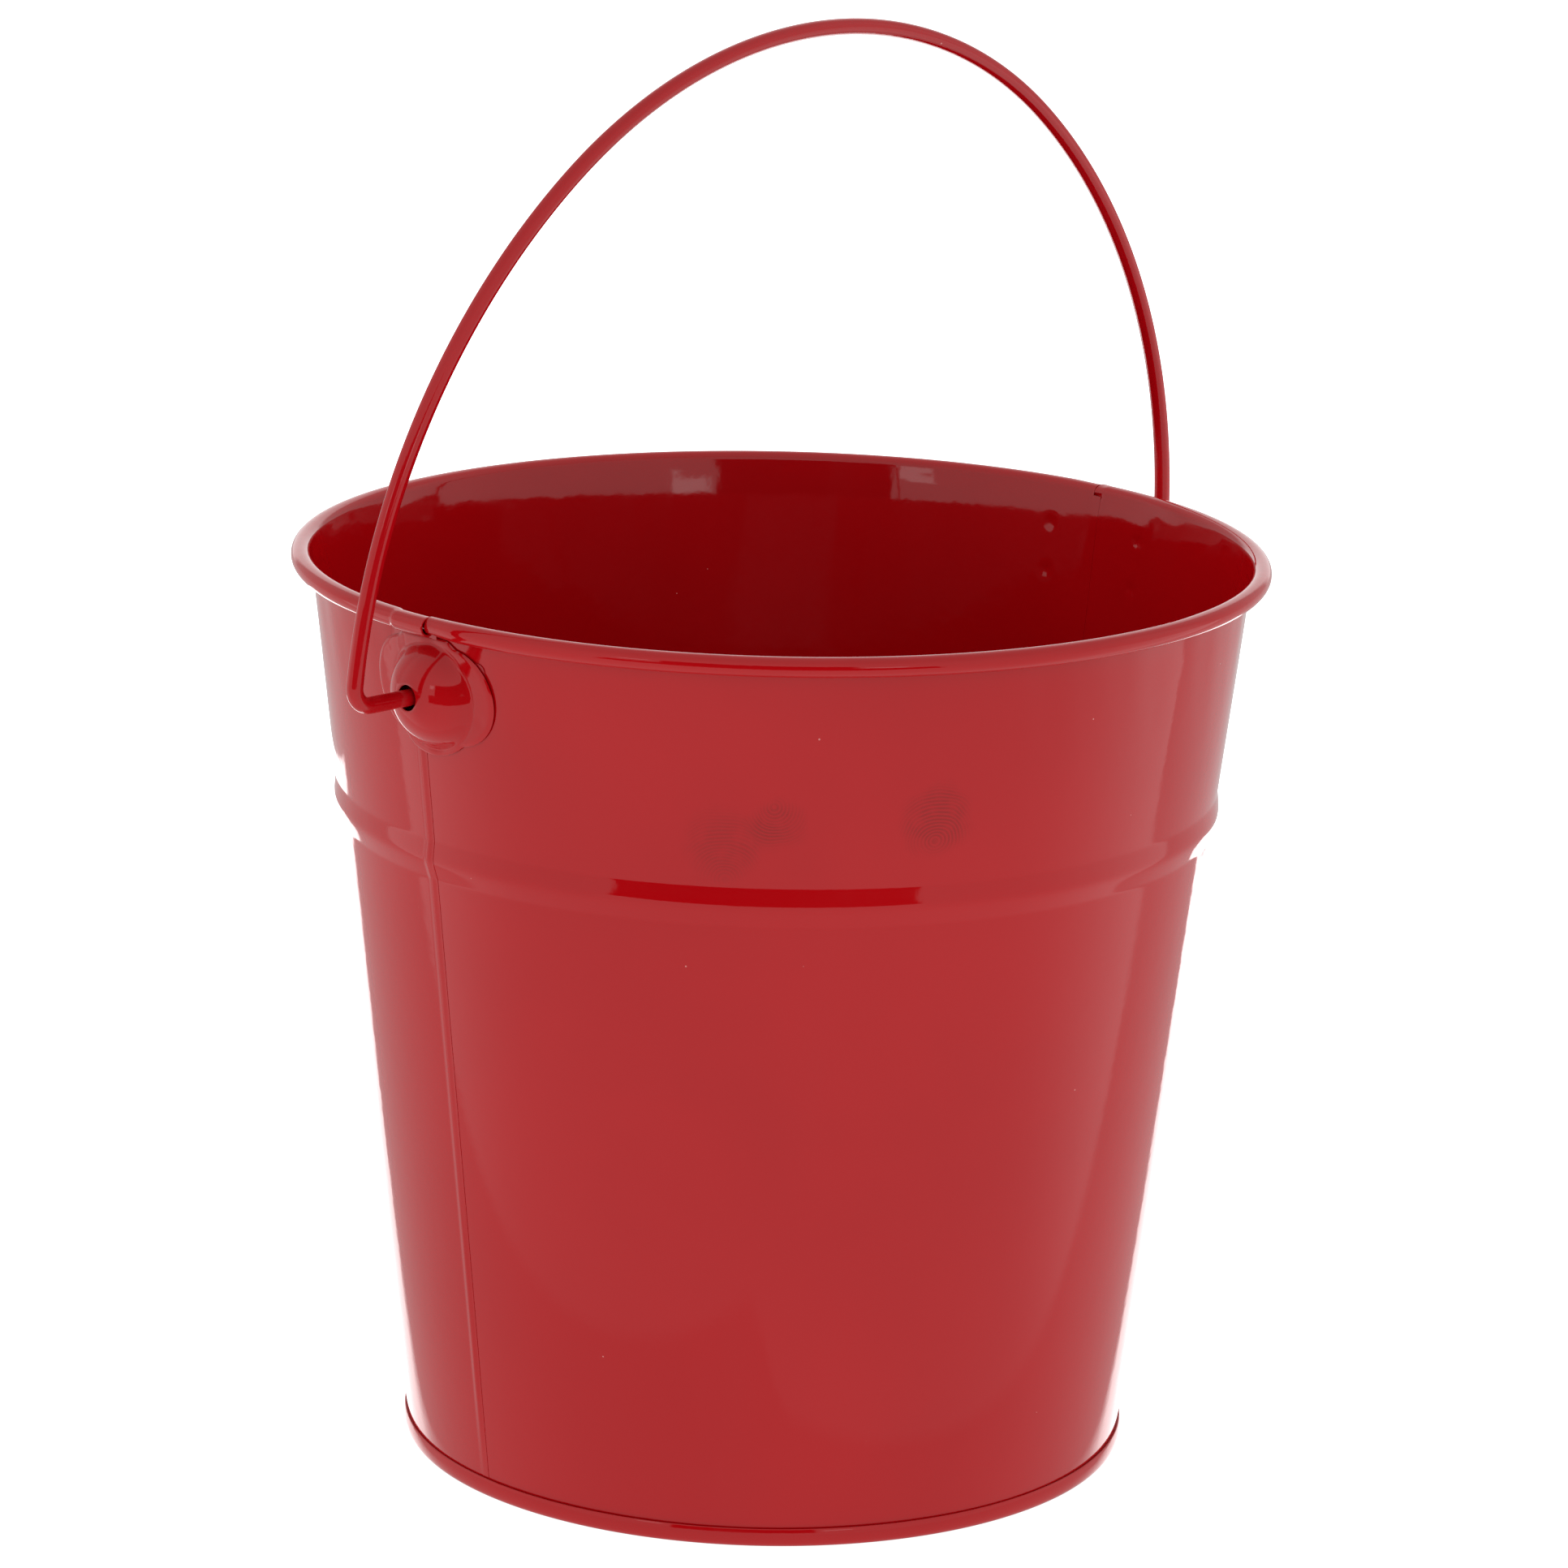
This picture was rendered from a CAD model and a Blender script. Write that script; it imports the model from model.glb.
import math

import bpy
import numpy as np
from mathutils import Matrix, Vector


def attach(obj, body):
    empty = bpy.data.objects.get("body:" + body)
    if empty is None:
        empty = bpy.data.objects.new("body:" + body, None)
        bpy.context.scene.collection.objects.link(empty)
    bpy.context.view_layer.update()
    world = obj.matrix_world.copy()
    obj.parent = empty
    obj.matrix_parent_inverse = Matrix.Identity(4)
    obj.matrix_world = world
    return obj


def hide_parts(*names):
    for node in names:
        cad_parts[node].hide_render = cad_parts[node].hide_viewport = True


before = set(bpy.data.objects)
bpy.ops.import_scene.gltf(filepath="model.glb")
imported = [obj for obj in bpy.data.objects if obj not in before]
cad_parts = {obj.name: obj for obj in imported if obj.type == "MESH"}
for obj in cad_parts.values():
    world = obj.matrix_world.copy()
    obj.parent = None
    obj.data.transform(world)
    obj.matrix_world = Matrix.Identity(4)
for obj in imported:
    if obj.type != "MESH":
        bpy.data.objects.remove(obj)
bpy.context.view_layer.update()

MM = 0.001

# ---------------------------------------------------------------- dimensions, in millimetres

RIM_R = 70.0
HEIGHT = 132.0
SHEET = 0.35
CURL_R = 1.4
FOOT_R = 52.15
WALL_START = 0.75

PIVOT_Z = 120.6
EAR_T = 0.36
DOME_H = 4.6
WIRE_R = 1.175

CURL_C = (RIM_R - CURL_R, HEIGHT - CURL_R)
REACH = math.hypot(CURL_C[0] - FOOT_R, CURL_C[1])
SLOPE = math.atan2(CURL_C[0] - FOOT_R, CURL_C[1]) - math.asin((CURL_R - SHEET) / REACH)
WALL_LEN = math.sqrt(REACH ** 2 - (CURL_R - SHEET) ** 2)
CURL_MID = CURL_R - SHEET / 2

# The wall flares a little just under the rim, where the curling tool gripped it
FLARE_FROM = WALL_LEN - 5.5
FLARE_A = math.radians(7.0)
FLARE_IN = 0.5 * FLARE_A * (WALL_LEN - FLARE_FROM)

# The bead, measured up the wall: a long upper face, a round crest and a shallower lower face
BEAD_LOW, BEAD_CREST, BEAD_HIGH = 93.6, 96.5, 99.3
BEAD_H = 0.55
CREST_ROUND, FOOT_ROUND = 0.12, 0.004
BEAD_GAIN = 1.2      # makes up for the height that the rounding takes off

# Seams, in degrees from +X: where the hidden neighbour starts, and where the lap and its curl end
LEFT_START, LEFT_END, LEFT_CURL_END = 176.2, 177.85, 181.7
RIGHT_START, RIGHT_END, RIGHT_CURL_END = 0.1, 1.2, 1.35
# The lap's clearance over its neighbour, and how far its outside swells in its middle and at its edge
LAP_GAP = 0.01
LAP_CREST = 0.20
LAP_EDGE = 0.05

# The ears' flanges stand this far off the wall, on four welds set round a point just above the hole
FLANGE_GAP = 0.08
WELD_Y, WELD_Z, WELD_MID = 9.0, 3.6, PIVOT_Z + 1.0
MARK_R = 0.95
WELD_SPOTS = [(sy, sz) for sy in (-WELD_Y, WELD_Y) for sz in (-WELD_Z, WELD_Z)]


def smooth(a, b, x):
    """Goes softly from 0 at a to 1 at b and stays there beyond; a may be the larger of the two."""
    t = np.clip((np.asarray(x, float) - a) / (b - a), 0.0, 1.0)
    return t * t * (3 - 2 * t)


def make_object(name, verts, faces, sharp_angle=35.0):
    """A smooth-shaded mesh object from points in millimetres."""
    mesh = bpy.data.meshes.new(name)
    mesh.from_pydata((np.asarray(verts) * MM).tolist(), [], faces)
    mesh.validate()
    mesh.update()
    mesh.polygons.foreach_set("use_smooth", [True] * len(mesh.polygons))
    mesh.set_sharp_from_angle(angle=math.radians(sharp_angle))
    obj = bpy.data.objects.new(name, mesh)
    bpy.context.scene.collection.objects.link(obj)
    return obj


# ---------------------------------------------------------------- wall panels

def bead_bump(y):
    """Height of the bead over the wall: two nearly flat faces that meet in a round crest."""
    low = (y - BEAD_LOW) / (BEAD_CREST - BEAD_LOW)
    high = (BEAD_HIGH - y) / (BEAD_HIGH - BEAD_CREST)
    face = np.minimum(low, high)
    blunt = 0.5 * (low + high - np.sqrt((low - high) ** 2 + CREST_ROUND))
    soft_foot = 0.5 * (blunt + np.sqrt(blunt ** 2 + FOOT_ROUND))
    return BEAD_H * BEAD_GAIN * np.where(face > -0.6, soft_foot, 0.0)


def wave(a, y):
    """Small unevenness of the bent sheet, strongest near the rim."""
    r = np.radians(a)
    near_rim = smooth(108.0, 128.0, y)
    low = 0.035 * np.sin(3 * r + 0.7) * np.sin(y / 31.0 + 0.4) + 0.02 * np.sin(7 * r + y / 17.0)
    top = 0.030 * np.sin(23 * r + 0.5) + 0.024 * np.sin(37 * r + 1.3) + 0.014 * np.sin(61 * r + y / 5.0)
    return low + near_rim * top


def weld_craters(a, y_up):
    """Depth of the craters that the electrodes left on the inside, where the ears are welded on."""
    z = y_up * math.cos(SLOPE)
    wall_r = 67.0
    total = 0.0
    for ear_angle in (0.0, 180.0):
        side = np.radians((a - ear_angle + 180.0) % 360.0 - 180.0) * wall_r
        for sy, sz in WELD_SPOTS:
            d2 = (side - sy) ** 2 + (z - WELD_MID - sz) ** 2
            total = total + 0.22 * np.exp(-d2 / MARK_R ** 2) - 0.06 * np.exp(-d2 / 2.2 ** 2)
    return total


def panel_rows():
    """Heights up the wall, then angles round the curl."""
    heights = np.concatenate([
        [WALL_START, 1.9, 3.05, 4.0, 6.0, 8.5, 11.5],
        np.linspace(15.0, BEAD_LOW - 1.5, 28),
        np.linspace(BEAD_LOW - 1.2, BEAD_LOW + 0.6, 10),
        np.linspace(BEAD_LOW + 0.9, BEAD_HIGH - 0.9, 12),
        np.linspace(BEAD_HIGH - 0.6, BEAD_HIGH + 1.2, 10),
        np.linspace(BEAD_HIGH + 2.5, 114.5, 8),
        np.linspace(115.2, 128.6, 26),
        np.linspace(129.2, WALL_LEN - 0.35, 6),
    ])
    angles = np.radians(np.linspace(180.0 - math.degrees(FLARE_A), -133.0, 44))
    return heights, angles


def panel_columns(a0, a1, curl_start, lap_end, curl_end):
    """Angles from a0 to curl_end, closer together near the ears and the seams."""
    cols, a = [], a0
    while a < curl_end:
        cols.append(a)
        from_ear = min(abs((a - ear_angle + 180) % 360 - 180) for ear_angle in (0, 180))
        step = 0.45 if from_ear < 10 else 1.0
        if a < curl_start + 6:
            step = 0.3
        if a > a1 - 3.0:
            step = 0.12
        a += step
    marks = [a1 - 0.03, a1 - 0.008, curl_start, lap_end - 0.06, lap_end, curl_end - 0.05, curl_end]
    cols = [c for c in cols if min(abs(c - m) for m in marks) > 0.02]
    return np.array(sorted(cols + marks))


def panel(name, a0, a1, curl_start, lap_end, curl_end):
    """One bent sheet with its bead and curl. The wall runs from a0 to lap_end and the curl from
    curl_start to curl_end. From a1 on, the sheet lies on its neighbour, which it climbs in a soft step."""
    heights, angles = panel_rows()
    n_wall = len(heights)
    cols = panel_columns(a0, a1, curl_start, lap_end, curl_end)
    a = cols[None, :]
    y = heights[:, None]

    flare = np.clip(y - FLARE_FROM, 0, None) ** 2 * FLARE_A / (2 * (WALL_LEN - FLARE_FROM))
    x = -SHEET / 2 - FLARE_IN * np.clip(y / FLARE_FROM, 0, 1) + flare + bead_bump(y)
    x = x + wave(a, y) * smooth(WALL_LEN, WALL_LEN - 2.5, y)
    wall = np.stack([x, np.broadcast_to(y, x.shape)], axis=2)

    # The curl keeps its place inside the mouth, and is rolled tighter where it starts at the seam
    tight = -0.24 * (1 - smooth(curl_start, curl_start + 5.0, a))
    t = angles[:, None]
    turn = smooth(math.pi * 0.9, math.pi * 0.25, t)
    radius = CURL_MID + tight * turn
    cx = CURL_R - SHEET + 0.2 * tight * turn
    cy = WALL_LEN - tight * (0.55 - 0.5 * (1 - turn))
    curl = np.stack([cx + radius * np.cos(t), cy + radius * np.sin(t)], axis=2)
    mid = np.concatenate([wall, curl])

    along = np.gradient(mid, axis=0)
    along /= np.linalg.norm(along, axis=2, keepdims=True)
    inward = np.stack([-along[..., 1], along[..., 0]], axis=2)
    half = np.full(mid.shape[:2], SHEET / 2)
    half[-1] *= 0.6               # the curl's free edge
    half[n_wall:, -1] *= 0.5      # the curl's end at the seam
    outer, inner = mid - inward * half[..., None], mid + inward * half[..., None]
    inner[:n_wall, :, 0] += weld_craters(a, y)

    # The lap: the outside swells softly and thins out to the edge, the inside steps at the neighbour's edge
    rise = smooth(a1 - 0.5, a1 + 0.7, a)
    low, high = smooth(1.0, 18.0, y), smooth(WALL_LEN - 9.0, WALL_LEN - 4.0, y)
    fall = smooth(a1 + 0.5, lap_end, a) * (1 - high)
    edge_lift = LAP_EDGE + 0.30 * high
    outer[:n_wall, :, 0] += rise * (edge_lift + (LAP_CREST - edge_lift) * low * (1 - fall) * (1 - high))
    step = smooth(a1 - 0.03, a1 - 0.008, a)
    near_curl = smooth(WALL_LEN - 1.0, WALL_LEN - 0.3, y)
    inner[:n_wall, :, 0] += (SHEET + LAP_GAP) * (step * (1 - near_curl) + rise * near_curl)
    rolled = smooth(math.radians(165), math.radians(100), t)
    outer[n_wall:, :, 0] += (SHEET + LAP_GAP) * rise * rolled
    inner[n_wall:, :, 0] += (SHEET + LAP_GAP) * rise * rolled

    grids = []
    for p in (outer, inner):
        r = FOOT_R + p[..., 0] * math.cos(SLOPE) + p[..., 1] * math.sin(SLOPE)
        z = -p[..., 0] * math.sin(SLOPE) + p[..., 1] * math.cos(SLOPE)
        turn_a = np.radians(a)
        grids.append(np.stack([r * np.cos(turn_a), r * np.sin(turn_a), z], axis=2))

    cells = np.ones((len(mid) - 1, len(cols) - 1), bool)
    first_curl, at_lap = int(np.searchsorted(cols, curl_start)), int(np.searchsorted(cols, lap_end))
    on_hem, tab = int(np.searchsorted(heights, 3.0)), int(np.searchsorted(heights, WALL_LEN - 2.6))
    cells[n_wall - 1:, :first_curl] = False
    cells[:tab, at_lap:] = False
    cells[:on_hem, int(np.searchsorted(cols, a1 - 0.05)):] = False
    return thick_sheet(name, grids[0], grids[1], cells)


def thick_sheet(name, outer, inner, cells):
    """Closes two point grids into one solid sheet; cells says which of the grid's cells exist."""
    rows, cols = cells.shape
    w = cols + 1
    count = (rows + 1) * w      # points in one grid
    verts = np.concatenate([outer.reshape(-1, 3), inner.reshape(-1, 3)])
    faces = []

    def at(i, j):
        return 0 <= i < rows and 0 <= j < cols and cells[i, j]

    for i in range(rows):
        for j in range(cols):
            if not cells[i, j]:
                continue
            p, q, r, s = i * w + j, i * w + j + 1, (i + 1) * w + j + 1, (i + 1) * w + j
            faces.append((p, q, r, s))
            faces.append((s + count, r + count, q + count, p + count))
            if not at(i - 1, j):
                faces.append((p, p + count, q + count, q))
            if not at(i + 1, j):
                faces.append((r, r + count, s + count, s))
            if not at(i, j - 1):
                faces.append((s, s + count, p + count, p))
            if not at(i, j + 1):
                faces.append((q, q + count, r + count, r))
    used = np.unique(np.array(faces))
    remap = np.full(len(verts), -1)
    remap[used] = np.arange(len(used))
    return make_object(name, verts[used], [tuple(int(remap[k]) for k in f) for f in faces])


# ---------------------------------------------------------------- base pan

def lathe(name, profile, segments=360, sharp_angle=35.0):
    """Turns a closed outline of (radius, height) round Z; points on the axis become one."""
    verts, rings = [], []
    for r, z in profile:
        if r < 1e-6:
            rings.append([len(verts)] * segments)
            verts.append((0.0, 0.0, z))
        else:
            start = len(verts)
            for k in range(segments):
                a = 2 * math.pi * k / segments
                verts.append((r * math.cos(a), r * math.sin(a), z))
            rings.append(list(range(start, start + segments)))
    faces = []
    for i in range(len(rings)):
        p, q = rings[i], rings[(i + 1) % len(rings)]
        if len(set(p)) == 1 and len(set(q)) == 1:
            continue
        for k in range(segments):
            m = (k + 1) % segments
            face = []
            for v in (p[k], p[m], q[m], q[k]):
                if v not in face:
                    face.append(v)
            faces.append(tuple(face))
    return make_object(name, verts, faces, sharp_angle)


def base_pan_outline():
    """The hem's lip against the wall, its shoulder and side, the foot, the recess and the pan."""
    lip = [(52.2, 2.62), (52.42, 2.66), (52.52, 2.73), (52.62, 2.785), (52.72, 2.8), (52.79, 2.76)]
    shoulder = [(52.85, 2.62), (52.89, 2.45), (52.93, 2.25), (52.97, 2.02)]
    side = [(52.995, 1.8), (53.0, 1.5), (52.98, 1.2), (52.93, 0.9), (52.84, 0.62), (52.7, 0.38),
            (52.52, 0.19), (52.3, 0.07), (52.05, 0.01), (51.85, 0.0)]
    foot = [(51.6, 0.0), (51.25, 0.08), (51.08, 0.28), (51.02, 0.6), (51.0, 1.7)]
    under = [(50.9, 1.98), (50.7, 2.13), (50.4, 2.2), (44.0, 2.2), (30.0, 2.2), (12.0, 2.2), (0.0, 2.2)]
    over = [(0.0, 2.55), (12.0, 2.55), (30.0, 2.55), (44.0, 2.55), (50.2, 2.55), (50.7, 2.6), (51.0, 2.72)]
    top = [(51.15, 2.79), (51.4, 2.8), (51.62, 2.72), (51.7, 2.5)]
    return top + lip + shoulder + side + foot + under + over


# ---------------------------------------------------------------- ears

def outline_radius(theta):
    """Distance from the hole to the flange's scalloped edge, in the direction theta."""
    up = 0.2
    best = 0.0
    for cy, cz, rad in ((-0.6, up, 9.1), (-5.2, up + 0.2, 6.9), (4.6, up, 6.9)):
        dy, dz = math.cos(theta), math.sin(theta)
        b = dy * cy + dz * cz
        disc = b * b - (cy * cy + cz * cz - rad * rad)
        if disc > 0:
            best = max(best, b + math.sqrt(disc))
    top = HEIGHT - 2 * CURL_R - SHEET - 0.15 - PIVOT_Z
    if math.sin(theta) > 0.05:
        best = min(best, top / math.sin(theta))
    return best


def wall_face(y, z):
    """X of the wall's outer face beside the point (y, z), in the ear's own frame."""
    r = FOOT_R + z * math.tan(SLOPE) - FLARE_IN * z / FLARE_FROM
    return np.sqrt(r ** 2 - y ** 2)


def ear(name, turn, lap_y):
    """A pressed ear: scalloped flange on the wall, a domed middle that runs into it, and the hole.
    The flange is lifted where it crosses the lap, which lies lap_y to the side of the hole."""
    n_theta = 192
    thetas = np.linspace(0, 2 * math.pi, n_theta, endpoint=False)
    edge = np.array([outline_radius(t) for t in thetas])
    for _ in range(2):
        edge = (np.roll(edge, 1) + 2 * edge + np.roll(edge, -1)) / 4
    hole, dome_r, lap_lift = 1.8, 7.3, 0.30
    steps = np.concatenate([[0, 0.015, 0.04], np.linspace(0.08, 0.90, 38),
                            [0.925, 0.945, 0.965, 0.985, 1.0]])
    rr = hole + (edge[None, :] - hole) * steps[:, None]
    y, dz = rr * np.cos(thetas), rr * np.sin(thetas)
    z = PIVOT_Z + dz

    back = wall_face(0.0, PIVOT_Z) + 0.5
    ball = (dome_r ** 2 + DOME_H ** 2) / (2 * DOME_H)
    dome = back + DOME_H - ball + np.sqrt(np.clip(ball ** 2 - rr ** 2, 0.02, None)) - EAR_T / 2
    over_lap = smooth(lap_y - 4.2, lap_y - 1.4, y) * smooth(lap_y + 4.2, lap_y + 1.4, y)
    flange = wall_face(y, z) + FLANGE_GAP + lap_lift * over_lap + EAR_T / 2
    gap = dome - flange
    x = flange + 0.5 * (gap + np.sqrt(gap ** 2 + 1.3 ** 2)) - 0.3 * np.exp(-gap ** 2 / 5.0)
    for sy, sz in WELD_SPOTS:
        d2 = (y - sy) ** 2 + (z - WELD_MID - sz) ** 2
        x = x - 0.05 * np.exp(-d2 / MARK_R ** 2)
    x = x + 0.05 * np.sin(2 * thetas + 0.6) * steps[:, None] + 0.03 * np.sin(5 * thetas) * steps[:, None]
    x = x - 0.07 * smooth(0.93, 1.0, steps)[:, None]
    mid = np.stack([x, y, z], axis=2)

    d_row = np.gradient(mid, axis=0)
    d_col = (np.roll(mid, -1, axis=1) - np.roll(mid, 1, axis=1)) / 2
    normal = np.cross(d_col, d_row)
    normal /= np.linalg.norm(normal, axis=2, keepdims=True)
    normal *= np.sign(normal[..., :1])
    half = np.full(len(steps), EAR_T / 2)
    half[:3] *= np.array([0.35, 0.75, 0.93])
    half[-5:] *= np.array([0.97, 0.9, 0.75, 0.5, 0.2])
    outer = mid + normal * half[:, None, None]
    inner = mid - normal * half[:, None, None]
    rows, cols = len(steps), n_theta
    count = rows * cols
    verts = np.concatenate([outer.reshape(-1, 3), inner.reshape(-1, 3)])
    if turn:
        verts = verts * np.array([-1, -1, 1])
    faces = []
    for j in range(cols):
        k = (j + 1) % cols
        for i in range(rows - 1):
            p, q, r, s = i * cols + j, i * cols + k, (i + 1) * cols + k, (i + 1) * cols + j
            faces.append((s, r, q, p))
            faces.append((p + count, q + count, r + count, s + count))
        faces.append((j, k, k + count, j + count))
        last = (rows - 1) * cols
        faces.append((last + j + count, last + k + count, last + k, last + j))
    return make_object(name, verts, faces, 50.0)


def welds(name, turn):
    """Four flat weld nuggets between the wall and the flange."""
    sides, radius = 28, 1.2
    verts, faces = [], []
    for sy, sz in WELD_SPOTS:
        start = len(verts)
        for lift in (-0.1, FLANGE_GAP + 0.08):
            for k in range(sides):
                t = 2 * math.pi * k / sides
                y, z = sy + radius * math.cos(t), WELD_MID + sz + radius * math.sin(t)
                verts.append((float(wall_face(y, z)) + lift, y, z))
        for k in range(sides):
            m = (k + 1) % sides
            faces.append((start + k, start + m, start + sides + m, start + sides + k))
        faces.append(tuple(start + k for k in reversed(range(sides))))
        faces.append(tuple(start + sides + k for k in range(sides)))
    verts = np.array(verts) * (np.array([-1, -1, 1]) if turn else 1)
    return make_object(name, verts, faces)


# ---------------------------------------------------------------- bail

def bail_path():
    """Centre line of the wire in its own plane, from one pivot leg to the other."""
    half_w, rise, top_r, side_r, bend_r = 80.5, 86.7, 73.4, 92.3, 3.0
    top_y = rise - top_r
    top_a = math.asin((side_r - half_w) / (side_r - top_r))
    side_y = top_y - (side_r - top_r) * math.cos(top_a)
    side_x = half_w - side_r
    bend_a = math.asin((bend_r - side_y) / (side_r - bend_r))
    bend_x = side_x + (side_r - bend_r) * math.cos(bend_a)
    leg_x = FOOT_R + PIVOT_Z * math.tan(SLOPE) + 1.4
    pts = [(leg_x + (bend_x - leg_x) * t, 0.0) for t in np.linspace(0, 1, 10, endpoint=False)]
    for t in np.linspace(-math.pi / 2, bend_a, 26, endpoint=False):
        pts.append((bend_x + bend_r * math.cos(t), bend_r + bend_r * math.sin(t)))
    for t in np.linspace(bend_a, math.pi / 2 - top_a, 70, endpoint=False):
        pts.append((side_x + side_r * math.cos(t), side_y + side_r * math.sin(t)))
    for t in np.linspace(math.pi / 2 - top_a, math.pi / 2, 60):
        pts.append((top_r * math.cos(t), top_y + top_r * math.sin(t)))
    half = np.array(pts)
    other = half[::-1][1:] * np.array([-1, 1])
    return np.concatenate([half, other])


def bail(name):
    """The bent wire, leaning back a little from upright."""
    path = bail_path()
    lean = math.radians(4.4)
    pts = np.stack([path[:, 0], -path[:, 1] * math.sin(lean),
                    PIVOT_Z + path[:, 1] * math.cos(lean)], axis=1)
    side = np.array([0.0, math.cos(lean), math.sin(lean)])
    along = np.gradient(pts, axis=0)
    along /= np.linalg.norm(along, axis=1, keepdims=True)
    across = np.cross(side, along)
    sides = 40
    ring = np.linspace(0, 2 * math.pi, sides, endpoint=False)
    rings = [pts[i] + WIRE_R * (np.outer(np.cos(ring), side) + np.outer(np.sin(ring), across[i]))
             for i in range(len(pts))]
    chamfer0 = pts[0] + 0.86 * (rings[0] - pts[0])
    chamfer1 = pts[-1] + 0.86 * (rings[-1] - pts[-1])
    rings[0] = rings[0] + along[0] * 0.15
    rings[-1] = rings[-1] - along[-1] * 0.15
    all_rings = [chamfer0] + rings + [chamfer1]
    verts = np.concatenate(all_rings)
    faces = []
    for i in range(len(all_rings) - 1):
        for k in range(sides):
            m = (k + 1) % sides
            faces.append((i * sides + k, i * sides + m, (i + 1) * sides + m, (i + 1) * sides + k))
    last = (len(all_rings) - 1) * sides
    faces.append(tuple(reversed(range(sides))))
    faces.append(tuple(last + k for k in range(sides)))
    return make_object(name, verts, faces)


# ---------------------------------------------------------------- node helpers

class Nodes:
    """Short calls for building a node tree."""

    def __init__(self, tree):
        self.tree = tree
        tree.nodes.clear()

    def add(self, kind):
        return self.tree.nodes.new(kind)

    def put(self, node, key, value):
        socket = node.inputs[key]
        if isinstance(value, bpy.types.NodeSocket):
            self.tree.links.new(value, socket)
        else:
            socket.default_value = value

    def math(self, op, a, b=0.0, c=None, clamp=False):
        node = self.add("ShaderNodeMath")
        node.operation, node.use_clamp = op, clamp
        for k, v in enumerate((a, b) if c is None else (a, b, c)):
            self.put(node, k, v)
        return node.outputs[0]

    def vmath(self, op, a, b=None):
        node = self.add("ShaderNodeVectorMath")
        node.operation = op
        self.put(node, 0, a)
        if b is not None:
            self.put(node, 1, b)
        return node.outputs["Value"] if op in ("DOT_PRODUCT", "LENGTH", "DISTANCE") else node.outputs[0]

    def ramp(self, value, a, b, lo=0.0, hi=1.0, kind="SMOOTHSTEP"):
        node = self.add("ShaderNodeMapRange")
        node.interpolation_type = kind
        for k, v in enumerate((value, a, b, lo, hi)):
            self.put(node, k, v)
        return node.outputs[0]

    def noise(self, vector, scale, detail=2.0, rough=0.5, distort=0.0):
        node = self.add("ShaderNodeTexNoise")
        for key, v in (("Vector", vector), ("Scale", scale), ("Detail", detail),
                       ("Roughness", rough), ("Distortion", distort)):
            self.put(node, key, v)
        return node.outputs[0]

    def mix(self, fac, a, b):
        node = self.add("ShaderNodeMix")
        node.data_type = "RGBA"
        self.put(node, 0, fac)
        for socket, v in ((node.inputs[6], a), (node.inputs[7], b)):
            if isinstance(v, bpy.types.NodeSocket):
                self.tree.links.new(v, socket)
            else:
                socket.default_value = (*v, 1.0)
        return node.outputs[2]


def on_wall(angle, z):
    """A point on the wall's outer face, in metres."""
    r = FOOT_R + z * math.tan(SLOPE) - FLARE_IN * z / FLARE_FROM
    a = math.radians(angle)
    return Vector((r * math.cos(a), r * math.sin(a), z)) * MM


# ---------------------------------------------------------------- materials

RED = (0.388, 0.0008, 0.003)
RIDGE_PITCH = 0.00049      # metres between a fingerprint's ridges


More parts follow.
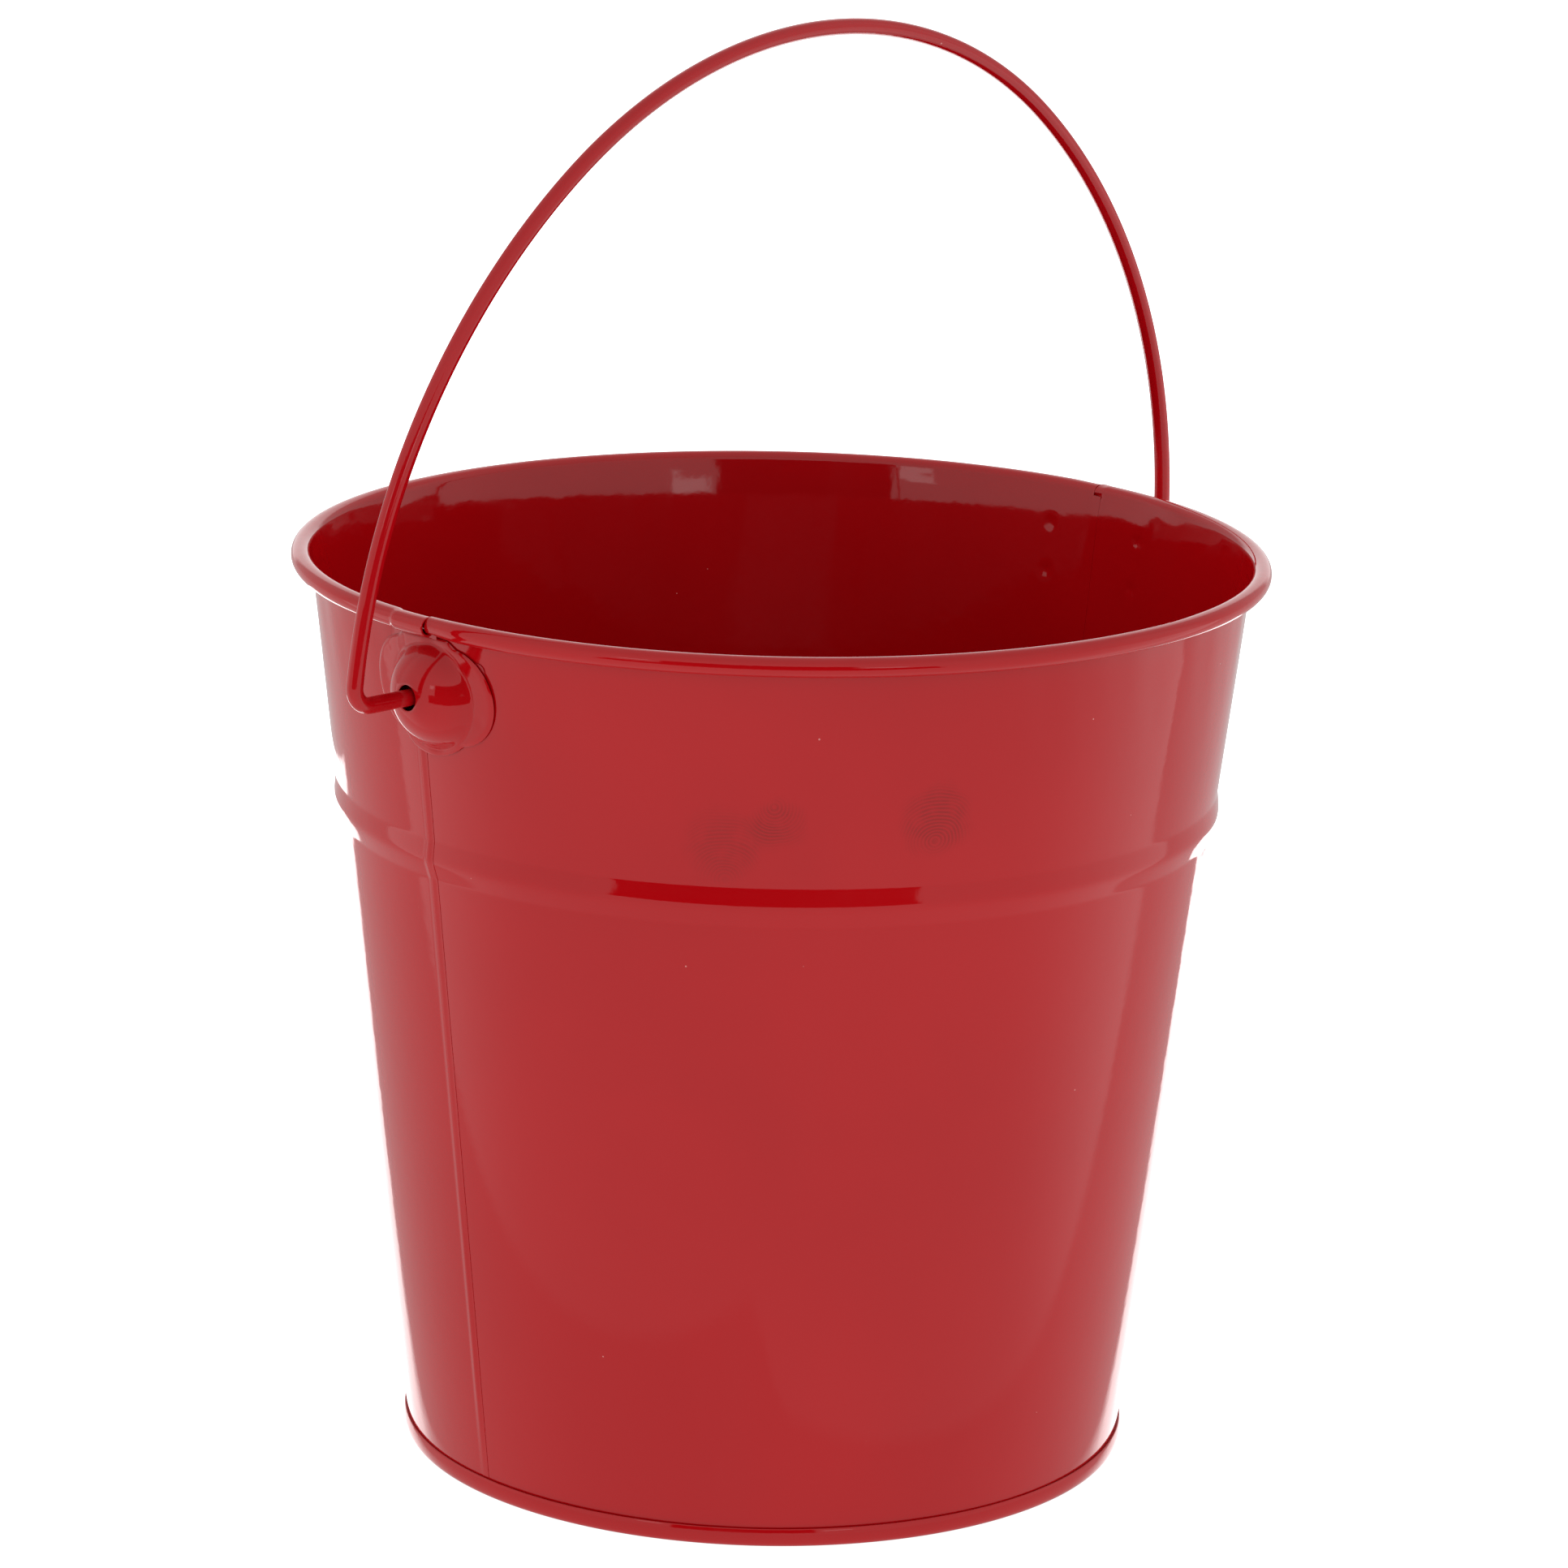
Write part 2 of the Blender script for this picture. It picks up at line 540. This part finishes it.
def enamel(name, base=RED, prints=(), smudge=1.0, rough=0.032, peel=1.0):
    """Sprayed gloss enamel: fine orange peel, uneven gloss, dust, pinholes, streaks and fingerprints."""
    mat = bpy.data.materials.new(name)
    mat.use_nodes = True
    n = Nodes(mat.node_tree)
    where = n.add("ShaderNodeTexCoord").outputs["Object"]

    # Broad, faint differences in the coat's depth
    cloud = n.noise(where, 22.0, 3.0, 0.5, 0.3)
    depth = n.ramp(cloud, 0.3, 0.7)
    dark = tuple(0.965 * c for c in base)
    light = tuple(min(1.0, 1.03 * c + 0.0006) for c in base)
    color = n.mix(depth, dark, light)

    # Pale dust specks caught in the paint, and a few dark pinholes
    def dots(scale, size, keep, seed):
        cell = n.add("ShaderNodeTexVoronoi")
        n.put(cell, "Scale", scale)
        n.put(cell, "Vector", n.vmath("ADD", where, (seed, seed * 0.7, seed * 0.3)))
        chance = n.add("ShaderNodeSeparateColor")
        n.put(chance, 0, cell.outputs["Color"])
        chosen = n.math("GREATER_THAN", chance.outputs[0], 1.0 - keep)
        spread = n.math("MULTIPLY_ADD", chance.outputs[1], size * 0.7, size * 0.5)
        near = n.math("LESS_THAN", cell.outputs["Distance"], spread)
        return n.math("MULTIPLY", chosen, near)

    dust = dots(190.0, 0.026, 0.34, 0.13)
    pits = dots(120.0, 0.022, 0.05, 0.57)
    color = n.mix(n.math("MULTIPLY", dust, 0.55), color, (0.72, 0.33, 0.30))
    color = n.mix(n.math("MULTIPLY", pits, 0.7), color, (0.10, 0.004, 0.004))

    # Faint streaks where the sheet was wiped
    wiped = n.add("ShaderNodeMapping")
    n.put(wiped, "Vector", where)
    wiped.inputs["Scale"].default_value = (60.0, 60.0, 9.0)
    streak = n.ramp(n.noise(wiped.outputs[0], 1.0, 3.0, 0.55, 0.6), 0.52, 0.74)

    gloss = n.math("MULTIPLY_ADD", cloud, 0.05 * smudge, rough)
    gloss = n.math("MULTIPLY_ADD", streak, 0.05 * smudge, gloss)

    # Fingerprints: curved ridges half a millimetre apart, broken up, fading at the edge of each print
    for centre, size, tilt, strength in prints:
        local = n.vmath("SUBTRACT", where, tuple(centre))
        bent = n.vmath("ADD", local, (0.0, 0.0, tilt))
        far = n.vmath("LENGTH", bent)
        wobble = n.math("MULTIPLY_ADD", n.noise(where, 210.0, 1.0), 0.0013, far)
        ridge = n.math("SINE", n.math("MULTIPLY", wobble, 2 * math.pi / RIDGE_PITCH))
        ridge = n.ramp(ridge, -0.6, 0.4, 0.22, 1.0)
        patchy = n.noise(where, 160.0, 2.0)
        edge = n.math("MULTIPLY_ADD", patchy, 0.9 * size, n.vmath("LENGTH", local))
        fade = n.ramp(edge, 1.45 * size, 0.8 * size)
        broken = n.ramp(n.noise(where, 420.0, 2.0), 0.30, 0.55, 0.5, 1.0)
        touch = n.math("MULTIPLY", n.math("MULTIPLY", ridge, fade), broken)
        gloss = n.math("MULTIPLY_ADD", touch, 0.06, gloss)
        color = n.mix(n.math("MULTIPLY", touch, strength), color, (0.25, 0.0, 0.0))

    # Orange peel and the odd raised grain
    peel_noise = n.noise(where, 430.0, 2.0, 0.45)
    grain = n.noise(where, 1500.0, 1.0, 0.5)
    height = n.math("MULTIPLY_ADD", grain, 0.10, peel_noise)
    height = n.math("MULTIPLY_ADD", dust, 0.9, height)
    height = n.math("MULTIPLY_ADD", pits, -0.8, height)
    bump = n.add("ShaderNodeBump")
    n.put(bump, "Strength", 0.35)
    n.put(bump, "Distance", 0.000042 * peel)
    n.put(bump, "Height", height)

    shader = n.add("ShaderNodeBsdfPrincipled")
    n.put(shader, "Base Color", color)
    n.put(shader, "Roughness", gloss)
    n.put(shader, "Normal", bump.outputs[0])
    shader.inputs["IOR"].default_value = 1.5
    shader.inputs["Specular IOR Level"].default_value = 0.5
    out = n.add("ShaderNodeOutputMaterial")
    n.put(out, 0, shader.outputs[0])
    return mat


# Each print's centre, its size, how far below the centre its ridges curve round, and its strength; in metres
PRINTS = [
    (on_wall(-140.5, 104.6), 0.0066, 0.005, 0.60),
    (on_wall(-134.8, 107.5), 0.0046, -0.003, 0.85),
    (on_wall(-115.0, 108.0), 0.0062, 0.003, 0.85),
]

enamel_front = enamel("enamel_front_panel", prints=PRINTS)
enamel_rear = enamel("enamel_rear_panel")
enamel_pan = enamel("enamel_base_pan", rough=0.04)
enamel_ear = enamel("enamel_ears", smudge=1.2, rough=0.035, peel=1.2)
enamel_weld = enamel("enamel_over_welds", base=(0.30, 0.002, 0.005), rough=0.12)
enamel_bail = enamel("enamel_bail", base=(0.375, 0.0012, 0.004), rough=0.05, peel=1.4)


# ---------------------------------------------------------------- pieces

PIECES = [
    (panel("front_panel_sheet", LEFT_START, RIGHT_START + 360, LEFT_CURL_END, RIGHT_END + 360,
           RIGHT_CURL_END + 360),
     "front_panel", "bucket", "enamel", enamel_front),
    (panel("rear_panel_sheet", RIGHT_START, LEFT_START, RIGHT_CURL_END, LEFT_END, LEFT_CURL_END),
     "rear_panel", "bucket", "enamel", enamel_rear),
    (lathe("base_pan_pressing", base_pan_outline()), "base_pan", "bucket", "enamel", enamel_pan),
    (ear("left_ear_pressing", True, -2.6), "left_ear", "bucket", "enamel", enamel_ear),
    (ear("right_ear_pressing", False, 0.6), "right_ear", "bucket", "enamel", enamel_ear),
    (welds("left_ear_nuggets", True), "left_ear_welds", "bucket", "weld", enamel_weld),
    (welds("right_ear_nuggets", False), "right_ear_welds", "bucket", "weld", enamel_weld),
    (bail("bail_wire"), "bail", "bail", "bail_enamel", enamel_bail),
]
for piece, node, body, slot_name, material in PIECES:
    piece.data.materials.append(material)
    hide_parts(node)
    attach(piece, body)


# ---------------------------------------------------------------- camera

# Set back and up, aimed by yaw, pitch and roll, and all turned about the bucket's axis
CAM_TURN = math.radians(-44.6)
YAW, PITCH, ROLL = math.radians(0.07), math.radians(14.42), math.radians(1.33)
CAM_BACK, CAM_UP = 0.8931, 0.3266


def camera_axes():
    """Forward, right and up of the camera, in the object's frame."""
    fwd = Vector((math.sin(YAW) * math.cos(PITCH), math.cos(YAW) * math.cos(PITCH), -math.sin(PITCH)))
    right = Vector((math.cos(YAW), -math.sin(YAW), 0.0))
    up = right.cross(fwd)
    right, up = (math.cos(ROLL) * right + math.sin(ROLL) * up,
                 math.cos(ROLL) * up - math.sin(ROLL) * right)
    turn = Matrix.Rotation(CAM_TURN, 3, "Z")
    return turn @ fwd, turn @ right, turn @ up, turn @ Vector((0.0, -CAM_BACK, CAM_UP))


forward, right, up, place = camera_axes()
cam_data = bpy.data.cameras.new("studio_camera")
cam_data.sensor_width = 36.0
cam_data.lens = 146.7
cam_data.clip_start, cam_data.clip_end = 0.01, 50.0
cam = bpy.data.objects.new("studio_camera", cam_data)
bpy.context.scene.collection.objects.link(cam)
basis = Matrix((right, up, -forward)).transposed()
cam.matrix_world = Matrix.Translation(place) @ basis.to_4x4()
bpy.context.scene.camera = cam
bpy.context.scene.view_settings.view_transform = "Standard"

# ---------------------------------------------------------------- studio light

# Towards the camera, and to the right as the camera sees it
FRONT = Vector((place.x, place.y, 0.0)).normalized()
RIGHTWARD = Vector((-FRONT.y, FRONT.x, 0.0))


def facing_of(n, direction):
    """The horizontal part of a direction, and how far it points to the front and to the right."""
    flat = n.vmath("NORMALIZE", n.vmath("MULTIPLY", direction, (1.0, 1.0, 0.0)))
    return n.vmath("DOT_PRODUCT", flat, tuple(FRONT)), n.vmath("DOT_PRODUCT", flat, tuple(RIGHTWARD))


def between(n, value, lo, hi, soft):
    """1 where the value lies between lo and hi and 0 elsewhere, with soft edges."""
    return n.math("MULTIPLY", n.ramp(value, lo - soft, lo + soft), n.ramp(value, hi + soft, hi - soft))


def pick(n, fac, a, b):
    """a where fac is 0, b where it is 1."""
    return n.math("ADD", n.math("MULTIPLY", a, n.math("SUBTRACT", 1.0, fac)), n.math("MULTIPLY", b, fac))


FILL = 1.24          # what lights the bucket, all round
OVERHEAD = 0.80
BACK_GLOW = 3.0      # the lit backdrop, mirrored in the bucket's edges
SHADE = 0.66         # the unlit sides of the room
PAPER = 0.76         # the paper in front, mirrored in the wall
WINDOW = 2.4         # two windows in front
ROOM_FRONT, ROOM_BACK = 0.95, 1.6
DARK = 0.02          # the dark space in front of the paper

world = bpy.data.worlds.new("studio")
bpy.context.scene.world = world
world.use_nodes = True
n = Nodes(world.node_tree)
look = n.add("ShaderNodeTexCoord").outputs["Generated"]
ahead, across = facing_of(n, look)
split = n.add("ShaderNodeSeparateXYZ")
n.put(split, 0, look)
rise = split.outputs[2]
overhead = n.ramp(rise, 0.35, 0.95)
light = pick(n, overhead, n.ramp(ahead, 0.1, -0.8, FILL, FILL * 2.0), OVERHEAD)
# In mirror images: a bright front, shaded sides, a bright back, the dark space before the bucket, two windows
mirror = n.ramp(ahead, -0.30, -0.50, ROOM_FRONT, SHADE)
mirror = pick(n, n.ramp(ahead, -0.88, -0.94), mirror, ROOM_BACK)
dark = n.math("MULTIPLY", between(n, across, -0.46, 0.30, 0.012), n.ramp(ahead, 0.0, 0.1))
dark = n.math("MULTIPLY", dark, n.ramp(rise, 0.345, 0.325))
low_dark = n.math("MULTIPLY", between(n, across, -0.64, 0.58, 0.012), n.ramp(ahead, 0.0, 0.1))
low_dark = n.math("MULTIPLY", low_dark, n.ramp(rise, -0.015, -0.03))
mirror = pick(n, n.math("MAXIMUM", dark, low_dark), mirror, DARK)
for lo, hi, low_edge in ((0.335, 0.48, 0.05), (-0.62, -0.50, 0.20)):
    pane = n.math("MULTIPLY", between(n, across, lo, hi, 0.01),
                  between(n, rise, low_edge, low_edge + 0.10, 0.01))
    pane = n.math("MULTIPLY", pane, n.ramp(ahead, 0.0, 0.1))
    mirror = pick(n, pane, mirror, WINDOW)
mirror = pick(n, overhead, mirror, OVERHEAD)
path = n.add("ShaderNodeLightPath")
background = n.add("ShaderNodeBackground")
n.put(background, "Strength", pick(n, path.outputs["Is Glossy Ray"], light, mirror))
out = n.add("ShaderNodeOutputWorld")
n.put(out, 0, background.outputs[0])

FLOOR_R = 2.6
floor_mesh = bpy.data.meshes.new("floor")
ring = [(FLOOR_R * math.cos(2 * math.pi * k / 96), FLOOR_R * math.sin(2 * math.pi * k / 96), 0.0)
        for k in range(96)]
floor_mesh.from_pydata(ring, [], [tuple(range(96))])
floor = bpy.data.objects.new("floor", floor_mesh)
bpy.context.scene.collection.objects.link(floor)
paper = bpy.data.materials.new("white_paper")
paper.use_nodes = True
n = Nodes(paper.node_tree)
spot = n.add("ShaderNodeTexCoord").outputs["Object"]
ahead, across = facing_of(n, spot)
forth = n.vmath("DOT_PRODUCT", spot, tuple(FRONT))
side = n.vmath("DOT_PRODUCT", spot, tuple(RIGHTWARD))
aside = n.math("ABSOLUTE", side)
# Mirrored paper: brighter to the sides, then a shaded band behind it, then the lit backdrop. Each edge is
# a straight line on the floor, found from how far a point lies forth and aside.
mirror = n.ramp(ahead, 0.55, -0.25, PAPER, 1.12)
shaded = n.math("ADD", forth, n.math("MULTIPLY", aside, 0.62))
shaded = n.math("SUBTRACT", shaded, n.ramp(side, -0.01, 0.01, 0.122, 0.090))
mirror = pick(n, n.ramp(shaded, 0.003, -0.003, kind="LINEAR"), mirror, SHADE)
lit = n.math("ADD", forth, n.math("MULTIPLY", aside, 1.74))
lit = n.math("SUBTRACT", lit, n.ramp(forth, 0.0, -0.15, 0.109, 0.102))
lit = n.math("MULTIPLY", n.ramp(lit, 0.003, -0.003, kind="LINEAR"), n.ramp(forth, 0.03, 0.01))
far = n.math("SUBTRACT", n.math("MULTIPLY", aside, 1.08), forth)
far = n.math("SUBTRACT", far, n.ramp(side, -0.01, 0.01, 0.52, 0.45))
lit = n.math("MULTIPLY", lit, n.ramp(far, 0.004, -0.004, kind="LINEAR"))
mirror = pick(n, lit, mirror, n.ramp(forth, -0.06, -0.25, 2.2, BACK_GLOW))
dark = n.math("MULTIPLY", between(n, across, -0.64, 0.58, 0.01), n.ramp(forth, 0.395, 0.402))
mirror = pick(n, dark, mirror, DARK)
path = n.add("ShaderNodeLightPath")
glossy = path.outputs["Is Glossy Ray"]
glow = n.add("ShaderNodeEmission")
n.put(glow, "Strength", pick(n, glossy, n.ramp(ahead, 0.1, -0.8, FILL * 0.82, FILL * 1.6), mirror))
matte = n.add("ShaderNodeBsdfDiffuse")
fibre = n.noise(spot, 900.0, 2.0)
n.put(matte, "Color", n.mix(glossy, n.mix(fibre, (0.18, 0.18, 0.18), (0.20, 0.20, 0.20)), (0.0, 0.0, 0.0)))
both = n.add("ShaderNodeAddShader")
n.put(both, 0, glow.outputs[0])
n.put(both, 1, matte.outputs[0])
out = n.add("ShaderNodeOutputMaterial")
n.put(out, 0, both.outputs[0])
floor_mesh.materials.append(paper)
